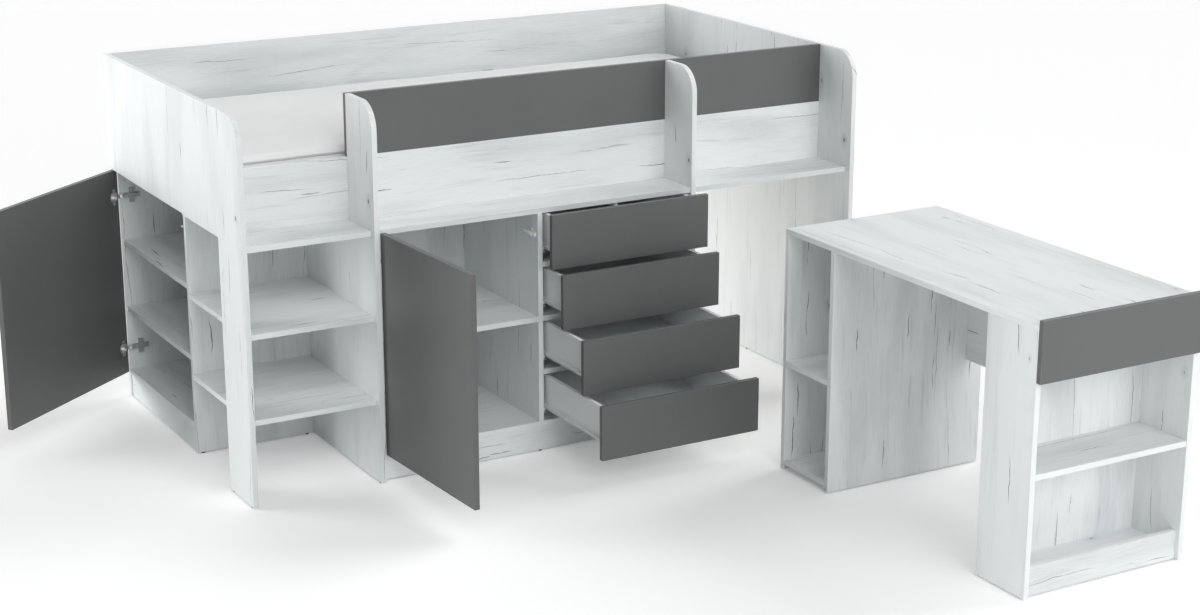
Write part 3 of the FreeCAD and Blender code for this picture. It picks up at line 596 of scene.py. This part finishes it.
class Grower(Nodes):
    """A geometry tree with named inputs; what it makes ends as plain mesh."""

    def __init__(self, name, inputs):
        super().__init__(bpy.data.node_groups.new(name, "GeometryNodeTree"))
        face = self.tree.interface
        face.new_socket("Geometry", in_out="OUTPUT", socket_type="NodeSocketGeometry")
        face.new_socket("Geometry", in_out="INPUT", socket_type="NodeSocketGeometry")
        self.ids = {}
        for key, kind in inputs.items():
            socket = face.new_socket(key, in_out="INPUT", socket_type="NodeSocket" + kind)
            self.ids[key] = socket.identifier
        self.given = self.node("NodeGroupInput").outputs

    def end(self, geometry, material):
        """Close the tree: instances become mesh and take the finish."""
        real = self.node("GeometryNodeRealizeInstances", None, {0: geometry})
        painted = self.node("GeometryNodeSetMaterial", None,
                            {"Geometry": real.outputs[0], "Material": material})
        self.node("NodeGroupOutput", None, {0: painted.outputs[0]})
        return self

    def facing(self):
        """The way that each point faces, as grow gave it."""
        made = self.node("GeometryNodeInputNamedAttribute", {"data_type": "FLOAT_VECTOR"},
                         {"Name": "facing"})
        return made.outputs[0]

    def grow(self, name, points, facings, loop, body, slot, **values):
        """Run the tree on points that face given ways, in a closed row where loop says so."""
        mesh = bpy.data.meshes.new(name)
        count = len(points)
        mesh.from_pydata(points, [(k, (k + 1) % count) for k in range(count)] if loop else [], [])
        held = mesh.attributes.new("facing", "FLOAT_VECTOR", "POINT")
        for row, way in zip(held.data, facings):
            row.vector = way
        item = bpy.data.objects.new(name, mesh)
        scene.collection.objects.link(item)
        maker = item.modifiers.new("grow", "NODES")
        maker.node_group = self.tree
        for key, value in values.items():
            maker[self.ids[key]] = value
        apply_modifiers(item)
        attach(item, body)


def screw_tree():
    """Pan heads with a cross recess on every point, each turned by chance."""
    tree = Grower("screw_heads", {"Head_Radius": "Float", "Turn_Seed": "Int", "Finish": "Material"})

    def moved(mesh, lift):
        made = tree.node("GeometryNodeTransform", None,
                         {"Geometry": mesh, "Translation": (0, 0, lift)})
        return made.outputs[0]

    def cone(low_radius, high_radius, low, high):
        made = tree.node("GeometryNodeMeshCone", None, {
            "Vertices": HEAD_SIDES, "Radius Bottom": low_radius, "Radius Top": high_radius,
            "Depth": high - low})
        return moved(made.outputs["Mesh"], low)

    def bar(*size):
        made = tree.node("GeometryNodeMeshCube", None, {"Size": size})
        return moved(made.outputs["Mesh"], SLOT_LEVEL)

    def combine(operation, parts, whole=None):
        made = tree.node("GeometryNodeMeshBoolean", {"operation": operation, "solver": "EXACT"},
                         {"Mesh 1": whole} if whole else None)
        for part in parts:
            tree.tree.links.new(part, made.inputs["Mesh 2"])
        return made.outputs[0]

    head = combine("UNION", (cone(*HEAD_RIM), cone(*HEAD_CROWN)))
    for size in SLOTS:
        head = combine("DIFFERENCE", (bar(*size),), head)
    spin = tree.node("FunctionNodeRandomValue", {"data_type": "FLOAT"},
                     {2: 0.0, 3: 2 * math.pi, "Seed": tree.given["Turn_Seed"]})
    turn = tree.node("FunctionNodeAxisAngleToRotation", None,
                     {"Axis": (0, 0, 1), "Angle": spin.outputs[1]})
    lean = tree.node("FunctionNodeAlignRotationToVector", {"axis": "Z"}, {"Vector": tree.facing()})
    both = tree.node("FunctionNodeRotateRotation", {"rotation_space": "LOCAL"},
                     {0: lean.outputs[0], 1: turn.outputs[0]})
    spread = tree.node("GeometryNodeInstanceOnPoints", None, {
        "Points": tree.given["Geometry"], "Instance": head, "Rotation": both.outputs[0],
        "Scale": tree.given["Head_Radius"]})
    return tree.end(spread.outputs[0], tree.given["Finish"])


def tape_tree():
    """A round tape along a closed row of points with a row of stitches on its outer side."""
    tree = Grower("mattress_tape", {"Tape_Radius": "Float", "Stitch_Pitch": "Float",
                                    "Stitch_Radius": "Float", "Finish": "Material"})
    line = tree.node("GeometryNodeMeshToCurve", None, {"Mesh": tree.given["Geometry"]}).outputs[0]
    ring = tree.node("GeometryNodeCurvePrimitiveCircle", None,
                     {"Resolution": TAPE_SIDES, "Radius": tree.given["Tape_Radius"]})
    tube = tree.node("GeometryNodeCurveToMesh", None,
                     {"Curve": line, "Profile Curve": ring.outputs[0]})
    even = tree.node("GeometryNodeResampleCurve", {"mode": "LENGTH"},
                     {"Curve": line, "Length": tree.given["Stitch_Pitch"]})
    out = tree.node("ShaderNodeVectorMath", {"operation": "SCALE"},
                    {0: tree.facing(), "Scale": tree.given["Tape_Radius"]})
    raised = tree.node("GeometryNodeSetPosition", None,
                       {"Geometry": even.outputs[0], "Offset": out.outputs[0]})
    bead = tree.node("GeometryNodeMeshIcoSphere", None,
                     {"Radius": tree.given["Stitch_Radius"], "Subdivisions": 1})
    stitch = tree.node("GeometryNodeTransform", None,
                       {"Geometry": bead.outputs[0], "Scale": STITCH_STRETCH})
    tangent = tree.node("GeometryNodeInputTangent")
    lean = tree.node("FunctionNodeAlignRotationToVector", {"axis": "Z"},
                     {"Vector": tangent.outputs[0]})
    sewn = tree.node("GeometryNodeInstanceOnPoints", None, {
        "Points": raised.outputs[0], "Instance": stitch.outputs[0], "Rotation": lean.outputs[0]})
    joined = tree.node("GeometryNodeJoinGeometry")
    for part in (tube.outputs[0], sewn.outputs[0]):
        tree.tree.links.new(part, joined.inputs[0])
    return tree.end(joined.outputs[0], tree.given["Finish"])


def border(level, surface):
    """Points round the mattress at a level, drawn to its cover, and the way out at each."""
    low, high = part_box("mattress")
    left, right = low.x + TAPE_CORNER, high.x - TAPE_CORNER
    front, back = low.y + TAPE_CORNER, high.y - TAPE_CORNER
    corners = ((right, back, 0), (left, back, 90), (left, front, 180), (right, front, 270))
    ring = []
    for x, y, start in corners:
        for step in range(CORNER_STEPS + 1):
            angle = math.radians(start + step * 90 / CORNER_STEPS)
            ring.append(Vector((x + TAPE_CORNER * math.cos(angle),
                                y + TAPE_CORNER * math.sin(angle), level)))
    places, outs = [], []
    for here, there in zip(ring, ring[1:] + ring[:1]):
        parts = max(1, round((there - here).length / TAPE_STEP))
        for k in range(parts):
            place, normal, _, _ = surface.find_nearest(here.lerp(there, k / parts))
            places.append(place)
            outs.append(normal)
    return places, outs


cover = BVHTree.FromObject(pad, bpy.context.evaluated_depsgraph_get())
tape = tape_tree()
for name, level in (("mattress_tape_top", pad_high.z - TAPE_INSET),
                    ("mattress_tape_bottom", pad_low.z + TAPE_INSET)):
    tape.grow(name, *border(level, cover), True, "bed", "mattress_cloth", **TAPE_SIZES,
              Finish=tape_knit)

# Fittings, in millimetres from the left end panel's front foot. A door's are drawn on the closed
# door's frame: from its pivot along the door, back into the cabinet and up.
PIVOTS = {"side": (2.5, 1135.5, 86), "front": (419.5, 2.5, 86)}
HINGE_LEVELS = {"side": (85, 585), "front": (85, 580)}
SHUT_TURN = {"side": 90, "front": 0}
CUP_ALONG, CUP_FACE, CUP_SCREWS = 17, 14.5, (-22, 22)
PLATE_FACE = {"side": 12.5, "front": -4.5}
PLATE_BACK, PLATE_SCREWS = 56, (-17, 17)
ARM_THICK, ARM_SCREWS = 8, (40, 62)
FRONT_LOW, DRAWER_PITCH, RUNNER_LIFT = 86, 167, 35
BAY_LEFT, BAY_RIGHT = 941, 1456
OUT = {1: 56, 2: 122, 3: 242, 4: 350}
CHANNEL_FACE, CHANNEL_MIDDLE, CHANNEL_SCREWS = 1.2, 13, (80, 250, 420)
RIDER_FACE, RIDER_MIDDLE, RIDER_SCREWS = 11.3, 14, (78, 268)
LATCH_THICK, LATCH_SCREWS = 3, (-10.5, 10.5)
DRAWER_LATCH_X, DRAWER_LATCH_Y = 1198.5, 57
LEDGE_UNDER, RAIL_DROP = 741, 9.5
FRONT_LATCH, SIDE_LATCH = (922, 57, 677), (57, 527.5, 704)
CUP_HEAD, RIDER_HEAD, FITTING_HEAD = 3.4, 2.8, 3.0
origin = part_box("left_end_panel")[0]


def bed_place(x, y, z):
    """A place given in millimetres from the left end panel's front foot."""
    return Vector((origin.x + x * MM, origin.y + y * MM, z * MM))


def about(pivot, turn, spots):
    """Places and ways drawn on a closed door's frame, turned about its pivot by so many degrees."""
    spin = Matrix.Rotation(-math.radians(turn), 3, "Z")
    return [(bed_place(*(Vector(pivot) + spin @ Vector(spot))), spin @ Vector(way))
            for spot, way in spots]


screws = screw_tree()


def set_screws(name, body, spots, radius):
    """Put a screw head on each place of a body, facing its way; the radius is in millimetres."""
    screws.grow(name, [spot for spot, _ in spots], [way for _, way in spots], False, body,
                "hinge_nickel", Head_Radius=radius * MM, Turn_Seed=TURN_SEED, Finish=screw_zinc)


fixed = []
for side, levels in HINGE_LEVELS.items():
    cups = [((CUP_ALONG, CUP_FACE, level + lift), (0, 1, 0))
            for level in levels for lift in CUP_SCREWS]
    set_screws(f"{side}_door_cup_screws", f"{side}_door",
               about(PIVOTS[side], DOOR_TURN[side], cups), CUP_HEAD)
    plates = [((PLATE_FACE[side], PLATE_BACK, level + lift), (1, 0, 0))
              for level in levels for lift in PLATE_SCREWS]
    arms = [((PLATE_FACE[side] + ARM_THICK, y, level), (1, 0, 0))
            for level in levels for y in ARM_SCREWS]
    fixed += about(PIVOTS[side], SHUT_TURN[side], plates + arms)
for k in DRAWERS:
    front_top = FRONT_LOW + (len(DRAWERS) + 1 - k) * DRAWER_PITCH
    level = front_top - DRAWER_PITCH + RUNNER_LIFT
    riders = []
    for wall, way in ((BAY_LEFT, 1), (BAY_RIGHT, -1)):
        fixed += [(bed_place(wall + way * CHANNEL_FACE, y, level + CHANNEL_MIDDLE),
                   Vector((way, 0, 0))) for y in CHANNEL_SCREWS]
        riders += [(bed_place(wall + way * RIDER_FACE, y - OUT[k], level + RIDER_MIDDLE),
                    Vector((-way, 0, 0))) for y in RIDER_SCREWS]
    set_screws(f"drawer_{k}_runner_screws", f"drawer_{k}", riders, RIDER_HEAD)
    under = LEDGE_UNDER if k == 1 else front_top - RAIL_DROP
    fixed += [(bed_place(DRAWER_LATCH_X + x, DRAWER_LATCH_Y, under - LATCH_THICK),
               Vector((0, 0, -1))) for x in LATCH_SCREWS]
for (x, y, z), way in ((FRONT_LATCH, (-1, 0, 0)), (SIDE_LATCH, (0, 1, 0))):
    fixed += [(bed_place(x, y, z + lift), Vector(way)) for lift in LATCH_SCREWS]
set_screws("carcass_fitting_screws", "bed", fixed, FITTING_HEAD)


# ---------------------------------------------------------------- stage, light, camera
WHITE, BLACK = tint(255, 255, 255), tint(0, 0, 0)
FLOOR_REACH = 40.0
# The floor shows white, with a little glow of its own that lifts it to the white behind the object.
FLOOR_BOUNCE, FLOOR_GLOW = tint(252, 252, 252), 0.15
AMBIENT = 0.03
BOX_SPREAD = math.radians(110)
EYE = (-2.8467, -5.3596, 2.3433)
PITCH, HEADING = 0.2894, 0.5189  # radians below the level, and from straight ahead to the right
SENSOR_MM, LENS_MM = 36, 66.855


def seen(nodes):
    """1 for rays that show a thing, straight, mirrored or through glass; 0 for those that light."""
    path = nodes.node("ShaderNodeLightPath").outputs
    kinds = ("Camera", "Glossy", "Transmission")
    return nodes.larger(*[Value(nodes, path[f"Is {kind} Ray"]) for kind in kinds])


floor = bpy.data.objects.new("floor", bpy.data.meshes.new("floor"))
corners = ((-1, -1), (1, -1), (1, 1), (-1, 1))
floor.data.from_pydata([(x * FLOOR_REACH, y * FLOOR_REACH, 0) for x, y in corners], [],
                       [range(len(corners))])
scene.collection.objects.link(floor)
ground = Finish("pale_floor", Specular_IOR_Level=0.0, Roughness=0.9, Emission_Strength=FLOOR_GLOW)
shown = seen(ground)
ground.feed(ground.shader.inputs["Base Color"], ground.blend(shown, FLOOR_BOUNCE, WHITE))
ground.feed(ground.shader.inputs["Emission Color"], ground.blend(shown, BLACK, WHITE))
floor.data.materials.append(ground.material)

scene.world = bpy.data.worlds.new("studio")
scene.world.use_nodes = True
air = Nodes(scene.world.node_tree)
glow = air.node("ShaderNodeBackground", None,
                {"Color": WHITE, "Strength": air.larger(seen(air), AMBIENT)})
air.node("ShaderNodeOutputWorld", None, {"Surface": glow.outputs[0]})


def lamp(name, kind, level, **settings):
    data = bpy.data.lights.new(name, kind)
    data.energy = level
    for key, value in settings.items():
        setattr(data, key, value)
    item = bpy.data.objects.new(name, data)
    scene.collection.objects.link(item)
    return item


def sun(name, level, bearing, height, spread=40):
    """Wide soft light from a bearing, from the front towards the left, and a height, in degrees."""
    item = lamp(name, "SUN", level * math.pi, angle=math.radians(spread))
    item.rotation_euler = (math.radians(90 - height), 0, -math.radians(bearing))


def panel(name, watts, place, aim, size):
    """A soft box at a place that looks along a direction, so wide and so high."""
    wide, high = size
    item = lamp(name, "AREA", watts, shape="RECTANGLE", size=wide, size_y=high, spread=BOX_SPREAD)
    item.location = place
    item.rotation_euler = Vector(aim).to_track_quat("-Z", "Y").to_euler()


sun("front", level=0.33, bearing=0, height=30)
sun("front_left", level=0.11, bearing=30, height=40)
sun("rear_left", level=0.31, bearing=125, height=20)
sun("right", level=0.41, bearing=-90, height=40)
sun("rear", level=0.09, bearing=180, height=45)
sun("overhead", level=0.13, bearing=20, height=86, spread=80)
panel("front_right_box", watts=13, place=(3.0, -4.6, 1.6), aim=(-0.35, 0.93, -0.1), size=(2.6, 2.0))
panel("rear_left_box", watts=19, place=(-3.4, 3.0, 1.0), aim=(0.8, -0.55, -0.05), size=(2.4, 1.6))
panel("bay_box", watts=3.8, place=(0.3, 2.6, 0.45), aim=(0.55, -0.83, 0.0), size=(1.4, 0.6))
panel("desk_box", watts=3, place=(-0.2, -3.0, 0.6), aim=(0.80, 0.60, -0.05), size=(1.6, 0.9))

camera = bpy.data.objects.new("camera", bpy.data.cameras.new("camera"))
camera.location = EYE
camera.rotation_euler = (math.pi / 2 - PITCH, 0, -HEADING)
camera.data.sensor_width = SENSOR_MM
camera.data.lens = LENS_MM
scene.collection.objects.link(camera)
scene.camera = camera
scene.view_settings.view_transform = "Standard"
